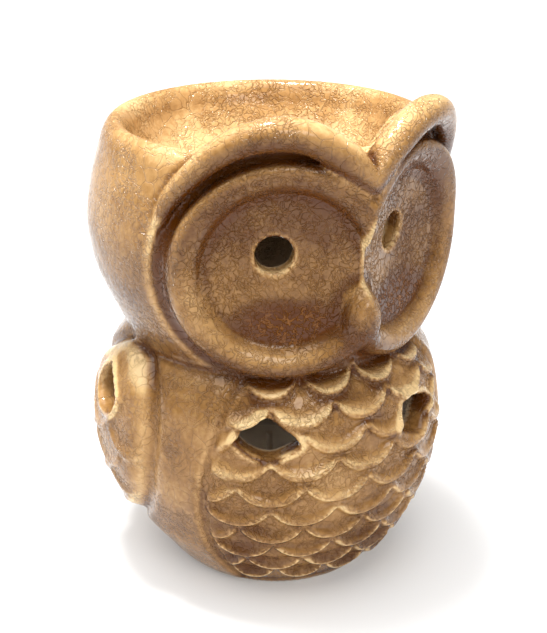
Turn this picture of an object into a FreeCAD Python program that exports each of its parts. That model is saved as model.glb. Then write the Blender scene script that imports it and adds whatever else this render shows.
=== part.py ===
import FreeCAD, Part

import math
import os

from FreeCAD import Vector

# Owl-shaped ceramic tealight burner: three slip-cast stoneware pieces luted together, and its tealight.
#
# Frame: millimetres, +Z up, origin where the dish's axis meets the flat foot, the owl faces -Y.
# The ceramic is round, so an outline is given as (radius, height) pairs, and a place on it as a bearing in
# degrees from the front (-Y), positive towards +X.

# ---- driving dimensions -------------------------------------------------------------------------
FLOOR_Z = 6.0              # top of the chamber floor, where the tealight stands
NECK_Z = 60.0              # height of the luted joint between body and head
RIM_Z = 112.0              # dish rim at the sides and back

FOOT_R = 24.3
BODY_OUTLINE = [(FOOT_R, 0.0), (28.1, 2.8), (31.9, 7.4), (37.7, 15.8), (41.8, 26.0), (43.3, 35.3),
                (42.4, 44.6), (40.8, 52.0), (38.7, 56.0), (35.2, NECK_Z)]
CHAMBER_OUTLINE = [(23.5, FLOOR_Z), (26.6, 8.4), (32.3, 15.8), (36.6, 26.0), (38.2, 35.3),
                   (37.4, 44.6), (35.6, 52.0), (33.5, 56.0), (30.2, NECK_Z)]
HEAD_OUTLINE = [(35.2, NECK_Z), (37.2, 66.0), (39.9, 72.0), (42.2, 78.0), (43.4, 84.0), (43.7, 90.0),
                (42.4, 98.0), (40.2, 105.4), (37.9, 110.3), (35.5, RIM_Z)]
HEAD_CAVITY_OUTLINE = [(30.2, NECK_Z), (32.6, 66.0), (35.0, 72.0), (37.1, 78.0), (38.3, 84.0),
                       (38.4, 90.0), (36.5, 97.0), (33.6, 103.0)]
BELLY_LEAN = 3.2           # how far forward of the Z axis the foot lies
LEAN_TOP_Z = 30.0          # above this the body is centred on the axis

# oil dish, set into the head on a ledge
DISH_FLANGE_R = 35.5
DISH_LEDGE_Z = 103.5
DISH_UNDERSIDE = [(0.0, 87.0), (12.0, 88.2), (21.5, 91.4), (28.0, 96.0), (31.4, 100.0), (33.2, DISH_LEDGE_Z)]
DISH_INSIDE = [(0.0, 91.5), (12.0, 92.7), (20.5, 95.8), (26.3, 100.2), (29.8, 105.2), (31.8, 109.4)]
DISH_LIP = (33.3, 111.5)
SEAT_GAP = 0.2             # glaze gap between the dish's underside and the head

# facial discs: one each side of the beak, looking slightly outwards
DISC_BEARING = 26.0
DISC_Z = 86.0
HOLLOW_R = 19.6            # edge of the disc's hollow
HOLLOW_DEPTH = 5.0
HOLLOW_EDGE_DIST = 37.6    # from the Z axis to the plane of the hollow's edge
RING_R = 21.5              # raised ring round the hollow
RING_SECTION_R = 3.7
RING_DIST = 35.2
CREASE_R = 25.0            # groove between the ring and the cheek
CREASE_SECTION_R = 2.6
CREASE_DIST = 37.0
DISC_WALL = 4.5
EYE_VENT_R = 4.4
# each eye vent: side, how far it lies outwards of the disc's centre, and how far above it
EYE_VENTS = [(-1, 1.9, 3.3), (1, -1.0, 4.0)]

# brow: a roll that follows each disc from the outer cheek over the top and down to the beak
HEAD_R = 43.5
# each point: angle round the disc (0 outwards, 90 up), distance from its centre, section radius, and
# distance from the Z axis
BROW = [
    (18.0, 27.4, 1.4, 41.6), (32.0, 28.5, 2.6, 40.8), (47.0, 29.5, 3.4, 40.2), (62.0, 30.3, 3.9, 39.9),
    (77.0, 30.7, 4.1, 39.6), (91.0, 30.6, 4.2, 39.6), (105.0, 29.7, 4.1, 39.8), (119.0, 28.2, 3.8, 40.0),
    (132.0, 26.8, 3.4, 40.2), (143.0, 26.2, 3.0, 40.4)]
BROW_WALL_R = 38.0         # front of the low wall that carries the brow above the rim
BROW_WALL_Z = 104.0        # foot of that wall

# beak: a blunt wedge low between the discs
BEAK_TIP = Vector(0, -43.2, 74.2)
BEAK_ROOT = Vector(0, -37.6, 84.0)
BEAK_TIP_R = 3.4
BEAK_ROOT_R = 4.6

# wings
WING_RAISE = 1.5
# outline of a wing seen from the side, (y, z)
WING_EDGE = [(-2.0, 59.4), (-12.5, 52.0), (-15.2, 38.0), (-13.0, 22.0), (-3.0, 9.0),
             (9.0, 9.0), (20.0, 20.0), (26.0, 36.0), (20.0, 53.0), (8.0, 59.4)]

# chest feathers: overlapping round scales in staggered rows
SCALE_R = 7.7
SCALE_THICK = 2.4
SCALE_TILT = 9.0
SCALE_STAND = 0.75
SCALE_STEP = 21.3          # bearing between neighbours in a row
SCALE_TIP_Z = [55.4, 49.4, 42.9, 36.9, 30.4, 24.3, 18.8, 13.6, 8.8]
EDGE_BEARING = 43.0        # no scale is centred beyond this

# vents cut through the wall: bearing, half width, and heights of the top point, side corners and round bottom
VENTS = [(-96.0, 6.4, 54.9, 49.8, 44.4), (-31.5, 7.6, 53.2, 47.2, 43.2),
         (24.5, 7.2, 50.9, 45.6, 40.9), (96.0, 6.4, 54.9, 49.8, 44.4)]

# door in the back, tall and wide enough to slide a lit tealight through
DOOR_HALF_W = 22.0
DOOR_SPRING_Z = 22.0
DOOR_START_Y = 4.0         # inside the chamber, where the cut begins

# tealight
CUP_R = 19.0
CUP_H = 16.0
CUP_WALL = 0.4
CUP_BEAD_R = 0.6
CUP_CORNER_R = 1.2
FIT_GAP = 0.05             # between the cup, the wax and the wick
SUSTAINER_R = 9.0
SUSTAINER_T = 0.4
SUSTAINER_NECK_R = 1.6
SUSTAINER_NECK_H = 4.5
WICK_R = 0.8
WICK_STAND = 8.0
WAX_H = 12.5
WAX_DISHING = 0.9

FAR = 60.0                 # beyond every surface of the ceramic


# ---- helpers ------------------------------------------------------------------------------------
def direction(bearing):
    """Unit vector pointing outwards at a bearing."""
    a = math.radians(bearing)
    return Vector(math.sin(a), -math.cos(a), 0)


def in_section(outline):
    """(radius, height) pairs as points of the XZ plane."""
    return [Vector(r, 0, z) for r, z in outline]


def curve(points):
    """Smooth edge through points."""
    spline = Part.BSplineCurve()
    spline.interpolate(points)
    return spline.toShape()


def straight(a, b):
    return Part.makeLine(a, b)


def turned(edges):
    """Solid of revolution round Z from the edges of a closed section."""
    face = Part.Face(Part.Wire(edges))
    return face.revolve(Vector(0, 0, 0), Vector(0, 0, 1), 360)


def turned_under(outline):
    """Solid under an outline, closed by flat faces at its two ends."""
    pts = in_section(outline)
    low = Vector(0, 0, pts[0].z)
    high = Vector(0, 0, pts[-1].z)
    return turned([straight(low, pts[0]), curve(pts), straight(pts[-1], high), straight(high, low)])


def lean(z):
    """How far the belly's centre lies forward of the Z axis at a height."""
    part = min(max(z / LEAN_TOP_Z, 0), 1)
    return BELLY_LEAN * (1 + math.cos(math.pi * part)) / 2


def leaning(outline, grow=0.0):
    """Solid through level circles that follow an outline and the belly's lean."""
    circles = [Part.makeCircle(r + grow, Vector(0, -lean(z), z)) for r, z in outline]
    return Part.makeLoft([Part.Wire([circle]) for circle in circles], True, False)


def radius_at(outline, z):
    """Radius of an outline at a height, straight between its points."""
    for (r0, z0), (r1, z1) in zip(outline, outline[1:]):
        if z0 <= z <= z1:
            return r0 + (r1 - r0) * (z - z0) / (z1 - z0)
    return outline[0][0] if z < outline[0][1] else outline[-1][0]


def disc_place(side, distance, outwards=0.0, rise=0.0):
    """A point at a distance along a facial disc's axis, side -1 or +1, moved aside and up from that axis."""
    aside = direction(side * (DISC_BEARING + 90.0)) * outwards
    return direction(side * DISC_BEARING) * distance + aside + Vector(0, 0, DISC_Z + rise)


# ---- head ---------------------------------------------------------------------------------------
def brow_centres(side):
    """Points along the middle of the brow over one disc."""
    centres = []
    for angle, reach, _, dist in BROW:
        a = math.radians(angle)
        swing = math.degrees(math.asin(reach * math.cos(a) / HEAD_R))
        rise = reach * math.sin(a)
        centres.append(direction(side * (DISC_BEARING + swing)) * dist + Vector(0, 0, DISC_Z + rise))
    return centres


def brow_roll(side):
    """The brow over one disc: a loft through round sections along its path."""
    centres = brow_centres(side)
    sections = []
    last = len(centres) - 1
    for i, centre in enumerate(centres):
        along = centres[min(i + 1, last)] - centres[max(i - 1, 0)]
        outwards = Vector(centre.x, centre.y, 0)
        section = Part.Wire([Part.makeCircle(BROW[i][2])])
        section.Placement = FreeCAD.Placement(centre, FreeCAD.Rotation(outwards, Vector(), along, "ZXY"))
        sections.append(section)
    return Part.makeLoft(sections, True, False)


def brow_wall():
    """Low wall round the front of the rim, as high as the brow's middle, that carries the brow."""
    ring = Part.makeCylinder(BROW_WALL_R, FAR / 2, Vector(0, 0, BROW_WALL_Z))
    walls = []
    for side in (-1, 1):
        # seen from the front, each half's top edge is the middle of the brow
        top = [Vector(p.x, -FAR, p.z) for p in brow_centres(side)]
        low_out = Vector(top[0].x, -FAR, DISC_Z)
        low_in = Vector(0, -FAR, DISC_Z)
        high_in = Vector(0, -FAR, top[-1].z)
        outline = [curve(top)]
        corners = [top[-1], high_in, low_in, low_out, top[0]]
        outline += [straight(a, b) for a, b in zip(corners, corners[1:])]
        walls.append(Part.Face(Part.Wire(outline)).extrude(Vector(0, FAR, 0)))
    return ring.common(walls[0].fuse(walls[1]))


def beak():
    """A tapered nub with a round tip."""
    axis = BEAK_TIP - BEAK_ROOT
    nub = Part.makeCone(BEAK_ROOT_R, BEAK_TIP_R, axis.Length, BEAK_ROOT, axis)
    root = Part.makeSphere(BEAK_ROOT_R, BEAK_ROOT)
    tip = Part.makeSphere(BEAK_TIP_R, BEAK_TIP)
    return nub.fuse([root, tip])


def hollow_sphere(side, extra=0.0):
    """The ball whose surface is a disc's hollow, made larger by extra."""
    ball_r = (HOLLOW_R ** 2 + HOLLOW_DEPTH ** 2) / (2 * HOLLOW_DEPTH)
    centre = disc_place(side, HOLLOW_EDGE_DIST - HOLLOW_DEPTH + ball_r)
    return Part.makeSphere(ball_r + extra, centre)


def dish_seat():
    """Everything the dish takes from the head: its seat, the ledge and the space above."""
    under = [Vector(r + SEAT_GAP * r / DISH_FLANGE_R, 0, z - SEAT_GAP) for r, z in DISH_UNDERSIDE[:-1]]
    ledge_in = Vector(DISH_UNDERSIDE[-1][0] + SEAT_GAP, 0, DISH_LEDGE_Z)
    ledge_out = Vector(DISH_FLANGE_R, 0, DISH_LEDGE_Z)
    top_out = Vector(DISH_FLANGE_R, 0, RIM_Z + FAR)
    top_in = Vector(0, 0, RIM_Z + FAR)
    return turned([curve(under + [ledge_in]), straight(ledge_in, ledge_out), straight(ledge_out, top_out),
                   straight(top_out, top_in), straight(top_in, under[0])])


def own_side(shape, side):
    """The part of a shape on one side of the owl's midline."""
    box = Part.makeBox(FAR, 2 * FAR, 2 * RIM_Z, Vector(0 if side > 0 else -FAR, -FAR, 0))
    return shape.common(box)


def head_shell():
    creases = []
    rings = []
    for side in (-1, 1):
        axis = direction(side * DISC_BEARING)
        crease = Part.makeTorus(CREASE_R, CREASE_SECTION_R, disc_place(side, CREASE_DIST), axis)
        ring = Part.makeTorus(RING_R, RING_SECTION_R, disc_place(side, RING_DIST), axis)
        creases.append(own_side(crease, side))
        rings.append(own_side(ring, side))
    hollows = [own_side(hollow_sphere(side), side) for side in (-1, 1)]
    vents = [Part.makeCylinder(EYE_VENT_R, FAR / 2, disc_place(side, FAR / 3, out, rise),
                               direction(side * DISC_BEARING)) for side, out, rise in EYE_VENTS]
    outer = turned_under(HEAD_OUTLINE).cut(creases + hollows)
    outer = outer.fuse(rings + [brow_wall(), beak()])
    for side in (-1, 1):
        outer = outer.fuse(brow_roll(side))
    cavity = turned_under(HEAD_CAVITY_OUTLINE)
    cavity = cavity.cut([hollow_sphere(side, DISC_WALL) for side in (-1, 1)])
    return outer.cut([cavity, dish_seat()] + vents)


def oil_dish():
    under = in_section(DISH_UNDERSIDE)
    inside = in_section(DISH_INSIDE)
    lip = Vector(DISH_LIP[0], 0, DISH_LIP[1])
    flange_low = Vector(DISH_FLANGE_R, 0, DISH_LEDGE_Z)
    flange_high = Vector(DISH_FLANGE_R, 0, RIM_Z)
    return turned([curve(under), straight(under[-1], flange_low), straight(flange_low, flange_high),
                   curve([flange_high, lip, inside[-1]]), curve(inside[::-1]), straight(inside[0], under[0])])


# ---- body ---------------------------------------------------------------------------------------
def wing_pad(side):
    """A raised leaf on the body's flank."""
    raised = leaning(BODY_OUTLINE, WING_RAISE)
    points = [Vector(0, y, z) for y, z in WING_EDGE]
    edge = Part.BSplineCurve()
    edge.interpolate(points, True)
    leaf = Part.Face(Part.Wire([edge.toShape()])).extrude(Vector(side * FAR, 0, 0))
    return raised.common(leaf)


def chest_scale(bearing, tip_z):
    """One feather: a round plate, tilted so that its lower edge stands out and its upper edge sinks in."""
    z = tip_z + SCALE_R
    r = radius_at(BODY_OUTLINE, z)
    out = direction(bearing)
    low, high = [radius_at(BODY_OUTLINE, h) - lean(h) * out.y for h in (z - SCALE_R / 2, z + SCALE_R / 2)]
    tilt = math.atan2(low - high, SCALE_R) + math.radians(SCALE_TILT)
    normal = out * math.cos(tilt) + Vector(0, 0, math.sin(tilt))
    face = out * (r + SCALE_STAND) + Vector(0, -lean(z), z)
    return Part.makeCylinder(SCALE_R, SCALE_THICK, face - normal * SCALE_THICK, normal)


def chest_scales():
    scales = []
    for row, tip_z in enumerate(SCALE_TIP_Z):
        offset = 0.0 if row % 2 else SCALE_STEP / 2
        for n in range(-3, 4):
            bearing = n * SCALE_STEP + offset
            if abs(bearing) <= EDGE_BEARING:
                scales.append(chest_scale(bearing, tip_z))
    return scales


def feather_vent(bearing, half_w, top_z, corner_z, bottom_z):
    """Prism along the radius: a point at the top, corners at the sides and a round bottom."""
    out = direction(bearing)
    across = direction(bearing + 90)

    def place(s, z):
        return out * (FAR / 2) + across * s + Vector(0, 0, z)

    left = place(-half_w, corner_z)
    right = place(half_w, corner_z)
    top = place(0, top_z)
    bottom = Part.Arc(right, place(0, bottom_z), left).toShape()
    return Part.Face(Part.Wire([straight(left, top), straight(top, right), bottom])).extrude(out * (FAR / 2))


def door():
    """Arched opening from the chamber out through the back, level with its floor."""
    y = DOOR_START_Y
    low_l = Vector(-DOOR_HALF_W, y, FLOOR_Z)
    low_r = Vector(DOOR_HALF_W, y, FLOOR_Z)
    spring_r = Vector(DOOR_HALF_W, y, DOOR_SPRING_Z)
    spring_l = Vector(-DOOR_HALF_W, y, DOOR_SPRING_Z)
    crown = Part.Arc(spring_r, Vector(0, y, DOOR_SPRING_Z + DOOR_HALF_W), spring_l).toShape()
    frame = Part.Wire([straight(low_l, low_r), straight(low_r, spring_r), crown, straight(spring_l, low_l)])
    return Part.Face(frame).extrude(Vector(0, FAR, 0))


def body_shell():
    scales = chest_scales()
    chest = scales[0].fuse(scales[1:])
    outer = leaning(BODY_OUTLINE).fuse([wing_pad(-1), wing_pad(1)]).fuse(chest)
    above = Part.makeBox(4 * FAR, 4 * FAR, FAR, Vector(-2 * FAR, -2 * FAR, NECK_Z))
    below = Part.makeBox(4 * FAR, 4 * FAR, FAR, Vector(-2 * FAR, -2 * FAR, -FAR))
    vents = [feather_vent(*vent) for vent in VENTS]
    return outer.cut([above, below, leaning(CHAMBER_OUTLINE), door()] + vents)


# ---- tealight -----------------------------------------------------------------------------------
def tealight_cup():
    """Thin pressed cup with a small corner round its foot and a rolled bead round its mouth."""
    r_in = CUP_R - CUP_WALL
    low = FLOOR_Z
    inner_low = FLOOR_Z + CUP_WALL
    top = FLOOR_Z + CUP_H
    corner_low = Vector(CUP_R - CUP_CORNER_R, 0, low)
    corner_high = Vector(CUP_R, 0, low + CUP_CORNER_R)
    inset = CUP_CORNER_R * (1 - math.sqrt(0.5))
    corner = Part.Arc(corner_low, Vector(CUP_R - inset, 0, low + inset), corner_high).toShape()
    inside = [Vector(CUP_R, 0, top), Vector(r_in, 0, top), Vector(r_in, 0, low + CUP_CORNER_R),
              Vector(r_in - CUP_CORNER_R, 0, inner_low), Vector(0, 0, inner_low), Vector(0, 0, low)]
    section = [straight(Vector(0, 0, low), corner_low), corner, straight(corner_high, inside[0])]
    section += [straight(a, b) for a, b in zip(inside, inside[1:])]
    bead = Part.makeTorus(CUP_R, CUP_BEAD_R, Vector(0, 0, top), Vector(0, 0, 1))
    return turned(section).fuse(bead)


def wick_sustainer():
    base = FLOOR_Z + CUP_WALL
    plate = Part.makeCylinder(SUSTAINER_R, SUSTAINER_T, Vector(0, 0, base))
    neck = Part.makeCylinder(SUSTAINER_NECK_R, SUSTAINER_NECK_H, Vector(0, 0, base))
    bore = Part.makeCylinder(WICK_R + FIT_GAP, SUSTAINER_NECK_H, Vector(0, 0, base + SUSTAINER_T))
    return plate.fuse(neck).cut(bore)


def tealight_wick():
    foot = FLOOR_Z + CUP_WALL + SUSTAINER_T
    return Part.makeCylinder(WICK_R, WAX_H + WICK_STAND - SUSTAINER_T, Vector(0, 0, foot))


def tealight_wax():
    """Wax cast round the sustainer and the wick, its top dished where it has melted and set."""
    base = FLOOR_Z + CUP_WALL
    r = CUP_R - CUP_WALL - FIT_GAP
    chamfer = CUP_CORNER_R + FIT_GAP
    top = base + WAX_H
    surface = Part.Arc(Vector(r, 0, top), Vector(r / 2, 0, top - WAX_DISHING * 0.8),
                       Vector(0, 0, top - WAX_DISHING)).toShape()
    wax = turned([straight(Vector(0, 0, base), Vector(r - chamfer, 0, base)),
                  straight(Vector(r - chamfer, 0, base), Vector(r, 0, base + chamfer)),
                  straight(Vector(r, 0, base + chamfer), Vector(r, 0, top)), surface,
                  straight(Vector(0, 0, top - WAX_DISHING), Vector(0, 0, base))])
    plate_room = Part.makeCylinder(SUSTAINER_R + FIT_GAP, SUSTAINER_T + FIT_GAP, Vector(0, 0, base))
    neck_room = Part.makeCylinder(SUSTAINER_NECK_R + FIT_GAP, SUSTAINER_NECK_H + FIT_GAP, Vector(0, 0, base))
    wick_room = Part.makeCylinder(WICK_R + FIT_GAP, WAX_H + FIT_GAP, Vector(0, 0, base))
    return wax.cut([plate_room, neck_room, wick_room])


# ---- export -------------------------------------------------------------------------------------
NODES = {
    "body_shell": body_shell,
    "head_shell": head_shell,
    "oil_dish": oil_dish,
    "tealight_cup": tealight_cup,
    "tealight_wax": tealight_wax,
    "tealight_wick": tealight_wick,
    "wick_sustainer": wick_sustainer,
}


def main():
    os.makedirs("parts", exist_ok=True)
    for name, make in NODES.items():
        shape = make()
        if not shape.isValid() or len(shape.Solids) != 1 or shape.Volume <= 0:
            raise ValueError(f"{name}: valid {shape.isValid()}, {len(shape.Solids)} solids")
        shape.Solids[0].exportStep(f"parts/{name}.step")
        print(name, "faces", len(shape.Faces), "volume", round(shape.Volume), "mm3")


main()
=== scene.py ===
"""Looks of the owl tealight burner: glazed ceramic skins in place of the frame's plain castings, the
tealight inside, and a plain studio. The ceramic is one signed field in millimetres, negative inside the
clay, that is meshed and then parted where the castings meet. A place on it is a bearing in degrees from
the front (-Y), and a height.
"""
import math

import bpy
import numpy as np
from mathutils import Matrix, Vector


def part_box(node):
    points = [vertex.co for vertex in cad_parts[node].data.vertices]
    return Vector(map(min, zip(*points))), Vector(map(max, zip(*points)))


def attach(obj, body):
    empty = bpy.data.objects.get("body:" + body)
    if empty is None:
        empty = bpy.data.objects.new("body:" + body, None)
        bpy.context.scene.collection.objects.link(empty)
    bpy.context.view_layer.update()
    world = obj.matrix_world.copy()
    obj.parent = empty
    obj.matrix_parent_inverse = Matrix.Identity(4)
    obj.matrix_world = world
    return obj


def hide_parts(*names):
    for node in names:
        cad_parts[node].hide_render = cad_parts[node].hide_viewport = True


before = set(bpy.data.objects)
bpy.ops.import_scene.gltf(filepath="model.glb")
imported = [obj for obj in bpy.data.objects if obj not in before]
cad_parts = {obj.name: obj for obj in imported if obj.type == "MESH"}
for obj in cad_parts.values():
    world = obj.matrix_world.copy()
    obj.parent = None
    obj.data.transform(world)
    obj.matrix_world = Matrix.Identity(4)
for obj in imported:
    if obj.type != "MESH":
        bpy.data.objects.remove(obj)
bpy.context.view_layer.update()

import openvdb
from mathutils import Matrix, Vector

MM = 0.001

# ---- sizes, millimetres ------------------------------------------------------------------------
VOXEL = 0.72
NECK_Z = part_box("body_shell")[1].z / MM
FLOOR_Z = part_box("tealight_cup")[0].z / MM
SEAT_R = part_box("oil_dish")[1].x / MM
RIM_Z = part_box("oil_dish")[1].z / MM

# outlines of the turned shapes: (radius, height), from the Z axis and back to it
BODY_OUTLINE = [
    (0.0, 0.0), (22.8, 0.0), (26.4, 0.9), (28.6, 2.9), (31.9, 7.4), (37.7, 15.8), (41.8, 26.0),
    (43.3, 35.3), (42.4, 44.6), (40.8, 52.0), (38.6, 56.0), (35.2, 60.2), (32.0, 64.0), (0.0, 66.0)]
HEAD_OUTLINE = [
    (0.0, 56.0), (31.0, 56.5), (34.0, 59.5), (37.2, 66.0), (39.9, 72.0), (42.2, 78.0), (43.4, 84.0),
    (43.7, 90.0), (42.4, 98.0), (40.4, 105.0), (38.9, 109.6), (36.9, 111.9), (34.9, 111.6),
    (33.2, 109.4), (31.6, 106.0), (27.8, 100.6), (22.0, 96.0), (12.0, 92.6), (0.0, 91.4)]
CAVITY_OUTLINE = [
    (0.0, 6.0), (22.0, 6.0), (26.4, 8.4), (32.2, 15.8), (36.5, 26.0), (38.1, 35.3), (37.3, 44.6),
    (35.2, 52.0), (30.4, 60.0), (32.4, 66.0), (34.9, 72.0), (37.0, 78.0), (38.2, 84.0), (38.2, 90.0),
    (36.6, 97.0), (34.6, 101.6), (32.6, 102.2), (28.0, 95.9), (21.5, 91.3), (12.0, 88.1), (0.0, 86.9)]
BELLY_LEAN = 3.2                # how far forward the belly's centre lies at the foot
LEAN_TOP_Z = 30.0               # height where the lean has died out
CUT_START = 20.0                # vents and eyes are cut from this far out along their own axis

# facial discs, each in a frame of its own: out along its axis, aside from it, and height
DISC_BEARING = 26.0
DISC_Z = 85.8
HOLLOW_BALL = 41.4              # radius of the ball that presses the disc hollow
HOLLOW_DIST = 74.7              # how far out the ball's centre lies
RING_R = 21.7
RING_SECTION = 3.6
RING_DIST = 35.0
RING_TILT = 2.2                 # how much further out the ring's top lies
RECESS_R = 28.0                 # the flat that is sunk round the ring
RECESS_DIST = 35.4
RECESS_START = 24.0
DISC_WALL = 4.5
EYE_VENT_R = 4.3
EYE_VENT_RISE = (3.3, 4.0)      # above the disc's centre, on the right eye and on the left
EYE_VENT_OUT = (1.9, -1.0)      # away from the midline, on the right eye and on the left

# brow: bearing, height, section radius, distance from the Z axis, from the outer tail to the beak
BROW = [(64.5, 97.0, 0.8, 42.0), (62.3, 101.0, 1.7, 41.6), (58.2, 105.0, 2.4, 41.0), (49.2, 111.4, 2.9, 40.5),
        (39.3, 115.7, 3.3, 40.1), (28.5, 117.3, 3.6, 39.9), (18.7, 116.2, 3.6, 39.9), (9.0, 112.2, 3.6, 40.1),
        (4.0, 109.0, 3.3, 40.4), (0.0, 106.2, 2.9, 40.8)]
BROW_WALL = (33.0, 36.4)        # inner and outer radius of the web that carries the brow above the rim
BROW_FOOT_Z = 106.0

BEAK_CENTRE = (0.0, -39.9, 75.2)
BEAK_SIZE = (4.0, 3.9, 5.6)


# ---- numbers and fields -----------------------------------------------------------------------------
def smooth_min(a, b, k):
    """Union of two fields with a fillet of about k."""
    h = np.clip(0.5 + 0.5 * (b - a) / k, 0.0, 1.0)
    return b + (a - b) * h - k * h * (1.0 - h)


def smooth_max(a, b, k):
    """Common part of two fields, its edges rounded by about k."""
    return -smooth_min(-a, -b, k)


def step(x, low, high):
    """Smooth step from 0 at low to 1 at high; low may be above high."""
    t = np.clip((x - low) / (high - low), 0.0, 1.0)
    return t * t * (3.0 - 2.0 * t)


def through(points, per_span=8):
    """Catmull-Rom curve through points, sampled."""
    p = np.asarray(points, float)
    p = np.vstack([2 * p[0] - p[1], p, 2 * p[-1] - p[-2]])
    t = np.linspace(0.0, 1.0, per_span, endpoint=False)[:, None]
    out = []
    for a, b, c, d in zip(p, p[1:], p[2:], p[3:]):
        out.append(0.5 * (2 * b + (c - a) * t + (2 * a - 5 * b + 4 * c - d) * t ** 2
                          + (3 * b - a - 3 * c + d) * t ** 3))
    return np.vstack(out + [p[-2][None]])


class Lookup:
    """A function of two numbers, kept on a regular grid and read between its points."""

    def __init__(self, low, high, pitch, make):
        self.low = np.asarray(low, float)
        self.pitch = pitch
        xs = np.arange(low[0], high[0] + pitch, pitch)
        ys = np.arange(low[1], high[1] + pitch, pitch)
        self.values = make(*np.meshgrid(xs, ys, indexing="ij")).astype(np.float32)

    def __call__(self, x, y):
        shape = self.values.shape
        u = np.clip((x - self.low[0]) / self.pitch, 0, shape[0] - 1.001)
        v = np.clip((y - self.low[1]) / self.pitch, 0, shape[1] - 1.001)
        i = u.astype(np.int32)
        j = v.astype(np.int32)
        fu = (u - i).astype(np.float32)
        fv = (v - j).astype(np.float32)
        grid = self.values
        low = grid[i, j] * (1 - fv) + grid[i, j + 1] * fv
        high = grid[i + 1, j] * (1 - fv) + grid[i + 1, j + 1] * fv
        return low * (1 - fu) + high * fu


def polygon_distance(ring, u, v):
    """Signed distance from points (u, v) to a closed flat outline, negative inside it."""
    best = np.full(u.shape, 1e9)
    inside = np.zeros(u.shape, bool)
    for (x0, y0), (x1, y1) in zip(ring, np.roll(ring, -1, axis=0)):
        dx, dy = x1 - x0, y1 - y0
        length = dx * dx + dy * dy
        if length < 1e-12:
            continue
        t = np.clip(((u - x0) * dx + (v - y0) * dy) / length, 0, 1)
        best = np.minimum(best, (u - x0 - t * dx) ** 2 + (v - y0 - t * dy) ** 2)
        if y0 != y1:
            inside ^= ((y0 > v) != (y1 > v)) & (u < dx * (v - y0) / dy + x0)
    return np.where(inside, -1.0, 1.0) * np.sqrt(best)


def turned(outline):
    """Distance to the solid turned from an outline that starts and ends on the Z axis."""
    curve = through(outline)
    curve[:, 0] = np.maximum(curve[:, 0], 0.0)
    ring = np.vstack([curve, curve[::-1] * (-1, 1)])
    return Lookup((0.0, -6.0), (56.0, 132.0), 0.4, lambda r, z: polygon_distance(ring, r, z))


def flat_shape(outline):
    """Distance to a closed outline in a flat (across, height) plane."""
    ring = through(outline + outline[:1], 4)
    return Lookup((-20.0, 30.0), (20.0, 75.0), 0.25, lambda u, v: polygon_distance(ring, u, v))


def along(points, per_span=8):
    """Smooth path through (bearing, height, radius, distance) rows, as x, y, z, radius."""
    path = through(points, per_span)
    a = np.radians(path[:, 0])
    return np.column_stack([np.sin(a) * path[:, 3], -np.cos(a) * path[:, 3], path[:, 1], path[:, 2]])


def rope(x, y, z, path):
    """Distance to a rope of changing radius along a path."""
    best = np.full(x.shape, 1e9, np.float32)
    for (x0, y0, z0, r0), (x1, y1, z1, r1) in zip(path, path[1:]):
        dx, dy, dz = x1 - x0, y1 - y0, z1 - z0
        length = dx * dx + dy * dy + dz * dz
        t = np.clip(((x - x0) * dx + (y - y0) * dy + (z - z0) * dz) / length, 0, 1)
        away = np.sqrt((x - x0 - t * dx) ** 2 + (y - y0 - t * dy) ** 2 + (z - z0 - t * dz) ** 2)
        best = np.minimum(best, away - r0 - t * (r1 - r0))
    return best


# ---- relief of the body's skin, by bearing from the front (either side) and height --------------------
FEATHER_TIPS = [55.4, 49.4, 42.8, 36.9, 30.4, 24.2, 18.8, 13.5, 8.2, 3.6]   # lowest height of each row
FEATHER_STEP = 21.3             # degrees from one feather to the next
FEATHER_START = 1.3             # bearing of a feather's middle in every second row
FEATHER_RISE = 4.6              # how much higher a feather's corners are than its tip
# (height, bearing) along each edge
CHEST_EDGE = [
    (0.0, 45.0), (4.0, 48.5), (8.0, 51.5), (12.4, 53.0), (21.7, 53.0), (31.3, 52.0), (39.6, 50.6),
    (47.2, 48.0), (54.0, 45.4), (59.0, 41.3), (64.0, 35.0)]
WING_FRONT = [
    (0.0, 121.0), (12.0, 102.0), (17.0, 88.0), (24.4, 76.8), (31.9, 72.4), (43.0, 70.6), (52.2, 72.6),
    (57.4, 78.5), (61.0, 87.0)]
WING_BACK = [
    (0.0, 111.0), (12.0, 102.0), (17.0, 105.0), (22.0, 113.0), (30.0, 121.0), (42.0, 126.0), (52.0, 121.0),
    (58.0, 109.0), (62.0, 100.0)]
WING_FEATHERS = [
    (97.0, 15.5, 10.0), (84.0, 22.0, 10.0), (108.0, 22.5, 11.0), (94.0, 28.5, 10.0),
    (115.0, 32.5, 11.0), (80.5, 34.8, 12.0), (102.0, 36.0, 11.0)]   # tip's bearing, its height, half width


def at_height(points, z):
    """Value at a height, on a smooth curve through (height, value) points."""
    curve = through(points)
    return np.interp(z, curve[:, 0], curve[:, 1])


def feather(above, thick, length):
    """Relief of one feather at a distance above its edge: a raised rim, then a dip that rises to the next."""
    edge = step(above, 0.0, 1.6)
    slope = thick * np.clip(1.0 - above / length, 0.0, 1.0)
    rim = 0.95 * np.exp(-((above - 1.7) / 1.2) ** 2)
    dip = 0.5 * np.exp(-((above - 4.6) / 1.5) ** 2)
    return edge * (slope + rim - dip)


def chest_feathers(bearing, z):
    """Rows of feathers, each row half a step on from the next; upper rows lie over lower ones."""
    half = FEATHER_STEP / 2
    height = np.zeros(z.shape)
    for row in reversed(range(len(FEATHER_TIPS))):
        offset = 0.0 if row % 2 else half
        across = np.abs((bearing - FEATHER_START - offset + half) % FEATHER_STEP - half)
        part = across / half
        above = z - FEATHER_TIPS[row] - FEATHER_RISE * (0.65 * part ** 2 + 0.35 * part ** 4)
        height = np.where(above > 0, feather(above, 1.0, 9.0), height)
    return height


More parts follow.
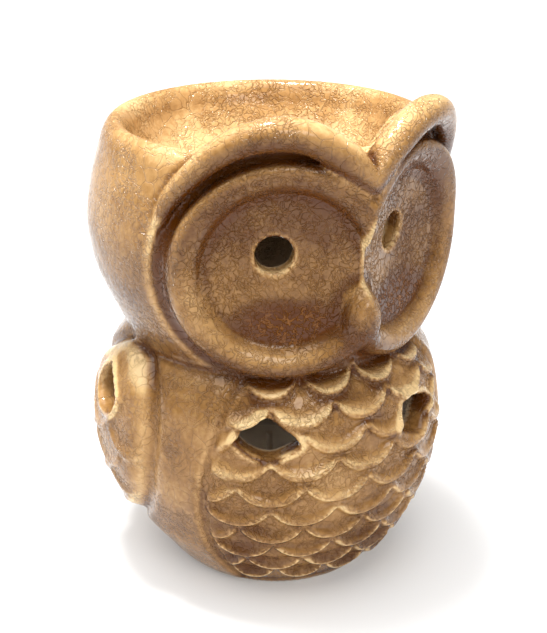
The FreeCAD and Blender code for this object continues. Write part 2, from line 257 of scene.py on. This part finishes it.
def wing_feathers(bearing, z):
    height = np.zeros(z.shape)
    for tip_bearing, tip_z, half in WING_FEATHERS:
        part = np.abs(bearing - tip_bearing) / half
        above = z - tip_z - 5.0 * part ** 2
        height = np.where((above > 0) & (part < 1.6), feather(above, 0.9, 14.0), height)
    return height


def soften(height, rounds):
    """A relief map blurred by a small kernel, so many times over."""
    for _ in range(rounds):
        padded = np.pad(height, 1, mode="edge")
        height = (padded[:-2, 1:-1] + padded[2:, 1:-1] + padded[1:-1, :-2] + padded[1:-1, 2:]
                  + 4.0 * padded[1:-1, 1:-1]) / 8.0
    return height


def body_relief(bearing, z):
    """How far the feathers, the chest's edge and the wings stand out from the turned body."""
    radii, heights = zip(*BODY_OUTLINE[1:])
    radius = np.interp(z, heights, radii)
    mm = np.radians(1.0) * radius
    side = np.abs(bearing)
    chest = (at_height(CHEST_EDGE, z) - side) * mm
    wing = np.minimum(side - at_height(WING_FRONT, z), at_height(WING_BACK, z) - side) * mm
    height = step(chest, -0.4, 3.0) * (chest_feathers(bearing, z) - 0.75)
    height += -0.9 * np.exp(-(chest / 1.1) ** 2)
    height += 0.25 * np.exp(-((chest + 2.6) / 1.5) ** 2)
    height += step(wing, 0.0, 8.0) * (1.3 + 0.5 * wing_feathers(side, z))
    height += -1.5 * np.exp(-((wing - 0.4) / 2.6) ** 2)
    return soften(height, 20)


# ---- vents ------------------------------------------------------------------------------------------
# outlines round each hole, as (distance towards the owl's left, height); the wing's first number is
# towards the back
RIGHT_CHEST_VENT = [
    (-7.2, 47.6), (-5.8, 49.8), (-3.1, 51.2), (-0.5, 52.7), (3.8, 49.8), (7.2, 46.8), (3.8, 44.5),
    (0.3, 43.4), (-3.1, 44.2), (-5.8, 45.9)]
LEFT_CHEST_VENT = [
    (-7.0, 44.4), (-4.9, 47.5), (-2.6, 50.8), (2.6, 48.8), (7.5, 46.5), (4.2, 43.4), (0.6, 40.8),
    (-3.6, 42.4)]
WING_VENT = [
    (1.5, 54.8), (4.9, 51.5), (5.8, 47.5), (3.0, 44.7), (-1.0, 44.2), (-5.2, 45.9), (-5.2, 49.5),
    (-1.8, 52.9)]
VENTS = [(-31.5, RIGHT_CHEST_VENT), (24.5, LEFT_CHEST_VENT), (-96.0, [(-t, z) for t, z in WING_VENT]),
         (96.0, WING_VENT)]
VENT_LIP = 0.7                  # how far the clay is raised round a vent
DOOR_HALF_W = 22.0
DOOR_SPRING_Z = 22.0
DOOR_START_Y = 4.0


def vent_field(x, y, z, bearing, shape):
    """A hole of a given outline, cut straight inwards at a bearing."""
    a = math.radians(bearing)
    out = x * math.sin(a) - y * math.cos(a)
    across = x * math.cos(a) + y * math.sin(a)
    return np.maximum(shape(across, z), CUT_START - out)


def door_field(x, y, z):
    """Arched doorway through the back, its sill level with the chamber floor."""
    arch = np.hypot(x, np.maximum(z - DOOR_SPRING_Z, 0.0)) - DOOR_HALF_W
    return np.maximum(np.maximum(arch, FLOOR_Z - z), DOOR_START_Y - y)


# ---- the whole field --------------------------------------------------------------------------------
HEAD = turned(HEAD_OUTLINE)
BODY = turned(BODY_OUTLINE)
CAVITY = turned(CAVITY_OUTLINE)
RELIEF = Lookup((-180.0, 0.0), (180.0, 64.0), 0.25, body_relief)
BROW_PATH = along(BROW)
OUTSIDE_R, OUTSIDE_Z = through(HEAD_OUTLINE[1:12]).T
VENT_SHAPES = [(bearing, flat_shape(outline)) for bearing, outline in VENTS]


def facial_disc(x, y, z):
    """A point in the frame of the disc on its own side: out along the axis, away from the centre, aside."""
    a = math.radians(DISC_BEARING)
    out = np.abs(x) * math.sin(a) - y * math.cos(a)
    aside = np.abs(x) * math.cos(a) + y * math.sin(a)
    return out, np.hypot(aside, z - DISC_Z), aside


def brow_field(x, y, z):
    """The brow's roll, and the web that carries it above the rim."""
    field = np.full(x.shape, 20.0)
    near = (y < -8.0) & (z > 86.0)
    px, py, pz = np.abs(x[near]), y[near], z[near]
    roll = rope(px, py, pz, BROW_PATH)
    bearing = np.degrees(np.arctan2(px, -py))
    heights = through([(b, h) for b, h, _, _ in reversed(BROW)])
    top = np.interp(bearing, heights[:, 0], heights[:, 1])
    radius = np.hypot(px, py)
    web = np.abs(radius - sum(BROW_WALL) / 2) - (BROW_WALL[1] - BROW_WALL[0]) / 2
    web = smooth_max(web, np.maximum(pz - top, BROW_FOOT_Z - pz), 1.5)
    field[near] = smooth_min(roll, web, 2.0)
    return field


def head_field(x, y, z):
    """The solid head with the dish's hollow, brow, rings, pressed discs and beak."""
    field = HEAD(np.hypot(x, y), z)
    out, away, _ = facial_disc(x, y, z)
    shell = np.hypot(x, y) - np.interp(z, OUTSIDE_Z, OUTSIDE_R)
    depth = 0.7 + 1.5 * step(z, 84.0, 102.0)
    sunk = np.minimum(RECESS_DIST - out, np.maximum(-shell - depth, RECESS_START - out))
    field = smooth_max(field, -smooth_max(away - RECESS_R, sunk, 1.8), 1.6)
    field = smooth_min(field, brow_field(x, y, z), 1.4)
    ring = np.hypot(away - RING_R, out - RING_DIST - RING_TILT * step(z, 86.0, 108.0)) - RING_SECTION
    field = smooth_min(field, ring, 2.0)
    field = smooth_max(field, HOLLOW_BALL - np.hypot(out - HOLLOW_DIST, away), 2.6)
    beak = np.sqrt(sum(((v - c) / s) ** 2 for v, c, s in zip((x, y, z), BEAK_CENTRE, BEAK_SIZE)))
    return smooth_min(field, (beak - 1.0) * min(BEAK_SIZE), 3.0)


def lean(z):
    """How far the belly's centre lies forward of the Z axis at a height."""
    return BELLY_LEAN * (1.0 + np.cos(math.pi * np.clip(z / LEAN_TOP_Z, 0.0, 1.0))) / 2.0


def body_field(x, y, z):
    """The solid body with its relief."""
    y = y + lean(z)
    bearing = np.degrees(np.arctan2(x, -y))
    return BODY(np.hypot(x, y), z) - RELIEF(bearing, z) * step(z, 0.5, 3.0)


def chamber_field(x, y, z):
    """The hollow inside body and head, pushed in behind the discs."""
    out, away, _ = facial_disc(x, y, z)
    behind_disc = HOLLOW_BALL + DISC_WALL - np.hypot(out - HOLLOW_DIST, away)
    return smooth_max(CAVITY(np.hypot(x, y + lean(z)), z), behind_disc, 1.0)


def ceramic(x, y, z):
    """The whole fired piece."""
    field = smooth_min(head_field(x, y, z), body_field(x, y, z), 0.8)
    out, _, aside = facial_disc(x, y, z)
    field = smooth_max(field, -chamber_field(x, y, z), 0.6)
    for bearing, shape in VENT_SHAPES:
        vent = vent_field(x, y, z, bearing, shape)
        field = smooth_max(field - VENT_LIP * np.exp(-((vent - 0.8) / 1.3) ** 2), -vent, 1.3)
    field = smooth_max(field, -door_field(x, y, z), 1.5)
    rise = np.where(x < 0, *EYE_VENT_RISE)
    outer = np.where(x < 0, *EYE_VENT_OUT)
    eye = np.maximum(np.hypot(aside - outer, z - DISC_Z - rise) - EYE_VENT_R, CUT_START - out)
    return smooth_max(field, -eye, 0.5)


# ---- meshing ----------------------------------------------------------------------------------------
LOW = np.array([-48.0, -50.0, -2.4])
HIGH = np.array([48.0, 48.0, 125.0])


def sample_near_surface():
    """The field on a regular grid, worked out only near the surface."""
    coarse = 4
    count = np.ceil((HIGH - LOW) / VOXEL / coarse).astype(int)
    middles = [LOW[i] + ((np.arange(count[i]) + 0.5) * coarse) * VOXEL for i in range(3)]
    mx, my, mz = np.meshgrid(*middles, indexing="ij")
    rough = ceramic(mx.ravel(), my.ravel(), mz.ravel()).reshape(mx.shape)
    near = np.abs(rough) < coarse * VOXEL * 1.2 + 0.8
    grid = np.where(rough > 0, 5.0, -5.0).astype(np.float32)
    for axis in range(3):
        grid = np.repeat(grid, coarse, axis=axis)
        near = np.repeat(near, coarse, axis=axis)
    index = np.argwhere(near)
    points = LOW + (index + 0.5) * VOXEL
    grid[tuple(index.T)] = ceramic(*points.T)
    return grid


def gradient(points, reach=0.12):
    """Slope of the field at points, from differences over a small reach."""
    parts = []
    for axis in np.eye(3):
        ahead = ceramic(*(points + axis * reach).T)
        behind = ceramic(*(points - axis * reach).T)
        parts.append((ahead - behind) / (2 * reach))
    return np.column_stack(parts)


def skin_of_ceramic():
    """Mesh of the field's surface, in millimetres."""
    grid = openvdb.FloatGrid(5.0)
    grid.copyFromArray(sample_near_surface())
    points, triangles, quads = grid.convertToPolygons(isovalue=0.0, adaptivity=0.0)
    points = LOW + (points.astype(float) + 0.5) * VOXEL
    for _ in range(2):
        slope = gradient(points)
        steep = np.maximum((slope ** 2).sum(axis=1), 0.2)
        move = (ceramic(*points.T) / steep)[:, None] * slope
        points = points - np.clip(move, -0.4 * VOXEL, 0.4 * VOXEL)
    faces = triangles.tolist() + quads.tolist()
    mesh = bpy.data.meshes.new("skin")
    mesh.from_pydata(points.tolist(), [], faces)
    return mesh


# ---- parting the skin into the castings -----------------------------------------------------------------
def new_object(name, mesh):
    obj = bpy.data.objects.new(name, mesh)
    bpy.context.scene.collection.objects.link(obj)
    return obj


def lathe(outline, sides=256):
    """Closed mesh turned from an outline that starts and ends on the Z axis."""
    points = [(0.0, 0.0, outline[0][1])]
    angles = np.linspace(0.0, 2.0 * math.pi, sides, endpoint=False)
    rows = outline[1:-1]
    for r, z in rows:
        points += [(r * math.cos(a), r * math.sin(a), z) for a in angles]
    points.append((0.0, 0.0, outline[-1][1]))
    last = len(points) - 1
    faces = []
    for i in range(sides):
        j = (i + 1) % sides
        faces.append((0, 1 + j, 1 + i))
        for row in range(len(rows) - 1):
            low, high = 1 + row * sides, 1 + (row + 1) * sides
            faces.append((low + i, low + j, high + j, high + i))
        top = 1 + (len(rows) - 1) * sides
        faces.append((top + i, top + j, last))
    mesh = bpy.data.meshes.new("cutter")
    mesh.from_pydata(points, [], faces)
    return mesh


def cut(mesh, cutter, operation, name):
    """A new mesh: one mesh with a cutter taken from it, or only what lies inside the cutter."""
    target = new_object(name, mesh)
    tool = new_object("tool", cutter)
    boolean = target.modifiers.new("cut", "BOOLEAN")
    boolean.object = tool
    boolean.operation = operation
    boolean.solver = "MANIFOLD"
    bpy.context.view_layer.update()
    done = bpy.data.meshes.new_from_object(target.evaluated_get(bpy.context.evaluated_depsgraph_get()))
    bpy.data.objects.remove(target)
    bpy.data.objects.remove(tool)
    done.name = name
    return done


DISH_UNDERSIDE = [(0.0, 86.6), (12.0, 87.8), (21.6, 91.0), (28.2, 95.7), (31.6, 99.8), (33.4, 103.5)]
FAR = 70.0


def slab(low_z, high_z):
    """A plain block wider than the owl, between two heights."""
    square = ((-FAR, -FAR), (FAR, -FAR), (FAR, FAR), (-FAR, FAR))
    corners = [(x, y, z) for z in (low_z, high_z) for x, y in square]
    faces = [(3, 2, 1, 0), (4, 5, 6, 7)] + [(i, (i + 1) % 4, 4 + (i + 1) % 4, 4 + i) for i in range(4)]
    mesh = bpy.data.meshes.new("slab")
    mesh.from_pydata(corners, [], faces)
    return mesh


def dress_skin(mesh):
    """Normals from the field, and the marks that the glaze's colour depends on: how hollow a place is, for
    glaze that gathers there and for painted shade; which way it faces, for painted light; and where.
    """
    count = len(mesh.vertices)
    points = np.empty(count * 3)
    mesh.vertices.foreach_get("co", points)
    points = points.reshape(-1, 3)
    slope = gradient(points, 0.2)
    normals = slope / np.maximum(np.linalg.norm(slope, axis=1), 1e-6)[:, None]
    marks = {}
    # how hollow a place is, at two reaches: partly glaze that gathers in creases and hollows, partly painted
    # shade there
    for name, reach in (("fine_hollow", 1.2), ("hollow", 3.2)):
        marks[name] = 1.0 - ceramic(*(points + normals * reach).T) / reach
    marks["ridge"] = np.maximum(0.85 + ceramic(*(points - normals * 1.4).T) / 1.4, 0.0)
    x, y, z = points.T
    # painted light and shade: on the head, faces that look up are made paler and faces that look down darker
    marks["facing_up"] = np.clip(normals[:, 2], -0.6, 0.7) * step(z, 54.0, 66.0)
    marks["bare"] = np.maximum(step(chamber_field(x, y, z), 1.2, 0.5), step(z, 1.0, 0.3))
    out, away, aside = facial_disc(x, y, z)
    # painted shade: the inside of each facial disc's dish, all but its lowest part, is darkened further
    marks["hollow"] += 0.16 * step(away, 21.0, 18.0) * step(out, 25.0, 30.0) * step(z, 70.0, 76.0)
    marks["pool"] = step(np.hypot(aside / 15.0, (z - DISC_Z + 12.5) / 7.0), 1.15, 0.0) * step(out, 25.0, 30.0)
    for name, value in marks.items():
        mesh.attributes.new(name, "FLOAT", "POINT").data.foreach_set("value", value.astype(np.float32))

    # faces cut by the parting stay flat; the rest take the field's own normals
    size = len(mesh.polygons)
    middles = np.empty(size * 3)
    flats = np.empty(size * 3)
    totals = np.empty(size, int)
    mesh.polygons.foreach_get("center", middles)
    mesh.polygons.foreach_get("normal", flats)
    mesh.polygons.foreach_get("loop_total", totals)
    on_skin = np.abs(ceramic(*middles.reshape(-1, 3).T)) < 0.25
    corners = np.empty(len(mesh.loops), int)
    mesh.loops.foreach_get("vertex_index", corners)
    owner = np.repeat(np.arange(size), totals)
    loops = np.where(on_skin[owner][:, None], normals[corners], flats.reshape(-1, 3)[owner])
    mesh.polygons.foreach_set("use_smooth", np.ones(size, bool))
    mesh.normals_split_custom_set(loops.tolist())
    mesh.transform(Matrix.Scale(MM, 4))


def ceramic_pieces():
    """The three castings as meshes in metres: body, head and dish."""
    skin = skin_of_ceramic()
    body = cut(skin, slab(-FAR, NECK_Z), "INTERSECT", "owl_body_glazed")
    top = cut(skin, slab(NECK_Z, 3 * FAR), "INTERSECT", "owl_top")
    seat = DISH_UNDERSIDE + [(SEAT_R, 103.5), (SEAT_R, 2 * RIM_Z), (0.0, 2 * RIM_Z)]
    head = cut(top, lathe(seat), "DIFFERENCE", "owl_head_glazed")
    dish = cut(top, lathe(seat), "INTERSECT", "oil_dish_glazed")
    for mesh in (body, head, dish):
        dress_skin(mesh)
    return body, head, dish


# ---- materials --------------------------------------------------------------------------------------
class Nodes:
    """A material's node tree, with short ways to add and join nodes."""

    def __init__(self, name):
        self.material = bpy.data.materials.new(name)
        self.material.use_nodes = True
        self.tree = self.material.node_tree
        self.tree.nodes.clear()
        self.shader = self.add("ShaderNodeBsdfPrincipled")
        out = self.add("ShaderNodeOutputMaterial")
        self.join(self.shader.outputs[0], out.inputs[0])

    def add(self, kind, **settings):
        node = self.tree.nodes.new(kind)
        for key, value in settings.items():
            setattr(node, key, value)
        return node

    def join(self, source, target):
        self.tree.links.new(source, target)

    def feed(self, value, socket):
        """Joins a socket's output, or sets a plain value."""
        if isinstance(value, bpy.types.NodeSocket):
            self.join(value, socket)
        else:
            socket.default_value = value

    def attribute(self, name):
        return self.add("ShaderNodeAttribute", attribute_name=name).outputs["Fac"]

    def math(self, operation, a, b=0.5):
        node = self.add("ShaderNodeMath", operation=operation)
        self.feed(a, node.inputs[0])
        self.feed(b, node.inputs[1])
        return node.outputs[0]

    def ramp(self, value, stops):
        node = self.add("ShaderNodeValToRGB")
        ramp = node.color_ramp
        while len(ramp.elements) < len(stops):
            ramp.elements.new(0.5)
        for element, (place, colour) in zip(ramp.elements, stops):
            element.position = place
            element.color = (*colour, 1.0)
        self.feed(value, node.inputs[0])
        return node.outputs[0]

    def grey_ramp(self, value, low, high):
        """Smooth step of a value from 0 at low to 1 at high."""
        node = self.add("ShaderNodeMapRange", interpolation_type="SMOOTHSTEP")
        self.feed(value, node.inputs["Value"])
        node.inputs["From Min"].default_value = low
        node.inputs["From Max"].default_value = high
        return node.outputs[0]

    def mix(self, amount, a, b):
        node = self.add("ShaderNodeMix", data_type="RGBA")
        self.feed(amount, node.inputs[0])
        self.feed(a, node.inputs[6])
        self.feed(b, node.inputs[7])
        return node.outputs[2]

    def place(self):
        """Object coordinates in millimetres."""
        coords = self.add("ShaderNodeTexCoord").outputs["Object"]
        node = self.add("ShaderNodeVectorMath", operation="SCALE")
        self.join(coords, node.inputs[0])
        node.inputs["Scale"].default_value = 1.0 / MM
        return node.outputs[0]

    def noise(self, where, scale, detail=2.0, rough=0.5):
        node = self.add("ShaderNodeTexNoise")
        self.join(where, node.inputs["Vector"])
        node.inputs["Scale"].default_value = scale
        node.inputs["Detail"].default_value = detail
        node.inputs["Roughness"].default_value = rough
        return node

    def shifted(self, where, scale, amount):
        """A place moved about by noise."""
        noise = self.noise(where, scale, 3.0)
        centred = self.add("ShaderNodeVectorMath", operation="SUBTRACT")
        self.join(noise.outputs["Color"], centred.inputs[0])
        centred.inputs[1].default_value = (0.5, 0.5, 0.5)
        scaled = self.add("ShaderNodeVectorMath", operation="SCALE")
        self.join(centred.outputs[0], scaled.inputs[0])
        scaled.inputs["Scale"].default_value = amount
        moved = self.add("ShaderNodeVectorMath", operation="ADD")
        self.join(where, moved.inputs[0])
        self.join(scaled.outputs[0], moved.inputs[1])
        return moved.outputs[0]

    def sum(self, parts, total=0.0):
        """Weighted sum of (socket, weight) pairs, on top of a plain number."""
        for socket, weight in parts:
            node = self.add("ShaderNodeMath", operation="MULTIPLY_ADD")
            self.join(socket, node.inputs[0])
            node.inputs[1].default_value = weight
            self.feed(total, node.inputs[2])
            total = node.outputs[0]
        return total

    def crazing(self, where, pool):
        """Short wiggling cracks, the level lines of two fine noises kept in patches, and a few long ones."""
        found = []
        for move, scale in ((0.0, 0.55), (40.0, 0.40)):
            spot = self.add("ShaderNodeVectorMath", operation="ADD")
            self.join(self.shifted(where, 0.8, 1.2), spot.inputs[0])
            spot.inputs[1].default_value = (move, move, move)
            value = self.noise(spot.outputs[0], scale, 1.0).outputs["Fac"]
            level = self.math("ABSOLUTE", self.math("SUBTRACT", value, 0.5))
            found.append(self.grey_ramp(level, 0.045, 0.004))
        worms = self.math("MAXIMUM", *found)
        patches = self.grey_ramp(self.noise(where, 0.09, 3.0).outputs["Fac"], 0.36, 0.58)
        patches = self.math("MAXIMUM", patches, pool)
        cells = self.add("ShaderNodeTexVoronoi", feature="DISTANCE_TO_EDGE")
        self.join(self.shifted(where, 0.25, 3.0), cells.inputs["Vector"])
        cells.inputs["Scale"].default_value = 0.28
        long_cracks = self.grey_ramp(cells.outputs["Distance"], 0.035, 0.0)
        short_cracks = self.math("MULTIPLY", worms, patches)
        return self.math("MAXIMUM", short_cracks, self.math("MULTIPLY", long_cracks, 0.5))

    def bump(self, height, strength, distance, before=None):
        node = self.add("ShaderNodeBump")
        self.feed(height, node.inputs["Height"])
        node.inputs["Strength"].default_value = strength
        node.inputs["Distance"].default_value = distance * MM
        if before is not None:
            self.join(before, node.inputs["Normal"])
        return node.outputs[0]


PALE = (0.80, 0.56, 0.27)
HONEY = (0.46, 0.26, 0.098)
BROWN = (0.29, 0.145, 0.044)
DARK = (0.12, 0.046, 0.010)
POOLED = (0.085, 0.022, 0.001)
STAIN = (0.17, 0.062, 0.012)
ORANGE = (0.50, 0.19, 0.02)
INSIDE = (0.42, 0.31, 0.20)


def glaze_material():
    """Honey glaze: pale where thin, brown where it has gathered, crazed in patches, stained in pools; painted
    shade darkens creases, hollows and the facial discs' dishes, and painted light pales the head's upward
    faces.
    """
    n = Nodes("crackle_glaze")
    where = n.place()
    drift = n.noise(where, 0.06, 3.0).outputs["Fac"]
    mottle = n.noise(n.shifted(where, 0.4, 1.5), 0.7, 4.0, 0.65).outputs["Fac"]
    pool = n.attribute("pool")
    # depth of the glaze, summed with painted shade in hollows and on downward faces and painted light on the
    # head's upward faces
    glaze_depth_and_shading = n.sum([(n.attribute("hollow"), 0.66), (n.attribute("fine_hollow"), 0.75),
                       (n.attribute("ridge"), -1.3), (n.attribute("facing_up"), -0.5),
                       (n.math("SUBTRACT", drift, 0.5), 0.8), (n.math("SUBTRACT", mottle, 0.5), 0.45),
                       (pool, 1.1)], 0.2)
    colour = n.ramp(n.grey_ramp(glaze_depth_and_shading, -0.6, 0.9),
                    [(0.0, PALE), (0.30, HONEY), (0.52, BROWN), (0.78, DARK), (1.0, POOLED)])
    lines = n.crazing(where, pool)
    stain = n.mix(pool, (*STAIN, 1.0), (*ORANGE, 1.0))
    colour = n.mix(n.math("MULTIPLY", lines, 0.26), colour, stain)
    bare = n.attribute("bare")
    n.join(n.mix(bare, colour, (*INSIDE, 1.0)), n.shader.inputs["Base Color"])
    n.join(n.sum([(mottle, 0.2), (bare, 0.5)]), n.shader.inputs["Roughness"])
    relief = n.bump(n.noise(where, 0.35, 2.0).outputs["Fac"], 0.1, 0.6)
    n.join(n.bump(n.math("MULTIPLY", lines, -1.0), 0.9, 0.3, relief), n.shader.inputs["Normal"])
    n.shader.inputs["IOR"].default_value = 1.38
    return n.material


def plain_material(name, colour, roughness, metallic=0.0):
    n = Nodes(name)
    speckle = n.noise(n.place(), 0.4, 4.0).outputs["Fac"]
    darker = tuple(c * 0.86 for c in colour)
    n.join(n.mix(speckle, (*darker, 1.0), (*colour, 1.0)), n.shader.inputs["Base Color"])
    n.shader.inputs["Roughness"].default_value = roughness
    n.shader.inputs["Metallic"].default_value = metallic
    n.join(n.bump(speckle, 0.1, 0.2), n.shader.inputs["Normal"])
    return n.material


# ---- pieces ---------------------------------------------------------------------------------------
glaze = glaze_material()
for mesh, node in zip(ceramic_pieces(), ("body_shell", "head_shell", "oil_dish")):
    mesh.materials.clear()
    mesh.materials.append(glaze)
    piece = new_object(mesh.name, mesh)
    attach(piece, "burner")
    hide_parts(node)

# the tealight's own nodes stay as they are and only take a material
for node, material in (("tealight_cup", plain_material("cup_metal", (0.78, 0.78, 0.78), 0.3, 1.0)),
                       ("tealight_wax", plain_material("wax", (0.86, 0.84, 0.78), 0.45)),
                       ("tealight_wick", plain_material("wick_cotton", (0.75, 0.72, 0.66), 0.9)),
                       ("wick_sustainer", plain_material("sustainer_metal", (0.6, 0.6, 0.6), 0.35, 1.0))):
    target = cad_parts[node]
    target.data.materials.clear()
    target.data.materials.append(material)


# ---- studio, in metres ----------------------------------------------------------------------------
OWL_MIDDLE = (0.0, 0.0, 0.06)
CAMERA_YAW = 31.0               # degrees towards the owl's right from straight in front
CAMERA_PITCH = 23.6             # degrees down
CAMERA_AWAY = 0.270
CAMERA_Z = 0.178


def studio():
    floor_mesh = bpy.data.meshes.new("floor")
    reach = 12.0
    corners = [(-reach, -reach, 0), (reach, -reach, 0), (reach, reach, 0), (-reach, reach, 0)]
    floor_mesh.from_pydata(corners, [], [(0, 1, 2, 3)])
    floor = new_object("floor", floor_mesh)
    n = Nodes("floor_paper")
    n.shader.inputs["Base Color"].default_value = (0.60, 0.60, 0.598, 1.0)
    n.shader.inputs["Roughness"].default_value = 0.8
    n.shader.inputs["Emission Color"].default_value = (1.0, 0.99, 0.98, 1.0)
    n.shader.inputs["Emission Strength"].default_value = 0.20
    floor.data.materials.append(n.material)

    world = bpy.data.worlds.new("studio")
    world.use_nodes = True
    world.node_tree.nodes["Background"].inputs[0].default_value = (1.0, 0.99, 0.98, 1.0)
    world.node_tree.nodes["Background"].inputs[1].default_value = 0.3
    bpy.context.scene.world = world


def sky_panel(name, towards, spread, strength):
    """A wide far-off panel that lights everything evenly from one direction."""
    light = bpy.data.lights.new(name, "SUN")
    light.angle = math.radians(spread)
    light.energy = strength
    obj = bpy.data.objects.new(name, light)
    bpy.context.scene.collection.objects.link(obj)
    obj.rotation_euler = Vector(towards).to_track_quat("Z", "Y").to_euler()


def softbox(name, place, size, power):
    """A rectangular light that faces the owl's middle."""
    light = bpy.data.lights.new(name, "AREA")
    light.shape = "RECTANGLE"
    light.size, light.size_y = size
    light.energy = power
    obj = bpy.data.objects.new(name, light)
    bpy.context.scene.collection.objects.link(obj)
    obj.location = place
    obj.rotation_euler = (Vector(OWL_MIDDLE) - Vector(place)).to_track_quat("-Z", "Y").to_euler()


def camera():
    lens = bpy.data.cameras.new("camera")
    lens.lens = 66.6
    lens.shift_x = 0.0063
    lens.clip_start = 0.01
    obj = bpy.data.objects.new("camera", lens)
    bpy.context.scene.collection.objects.link(obj)
    yaw = math.radians(CAMERA_YAW)
    obj.location = (-CAMERA_AWAY * math.sin(yaw), -CAMERA_AWAY * math.cos(yaw), CAMERA_Z)
    obj.rotation_euler = (math.radians(90.0 - CAMERA_PITCH), 0.0, -yaw)
    bpy.context.scene.camera = obj


studio()
sky_panel("overhead", (-0.16, 0.12, 1.0), 75.0, 3.6)
softbox("top_box", (-0.07, 0.10, 0.80), (0.16, 0.16), 8.0)
softbox("front_fill", (-0.10, -0.70, 0.55), (0.5, 0.3), 2.8)
camera()
bpy.context.scene.view_settings.view_transform = "Standard"
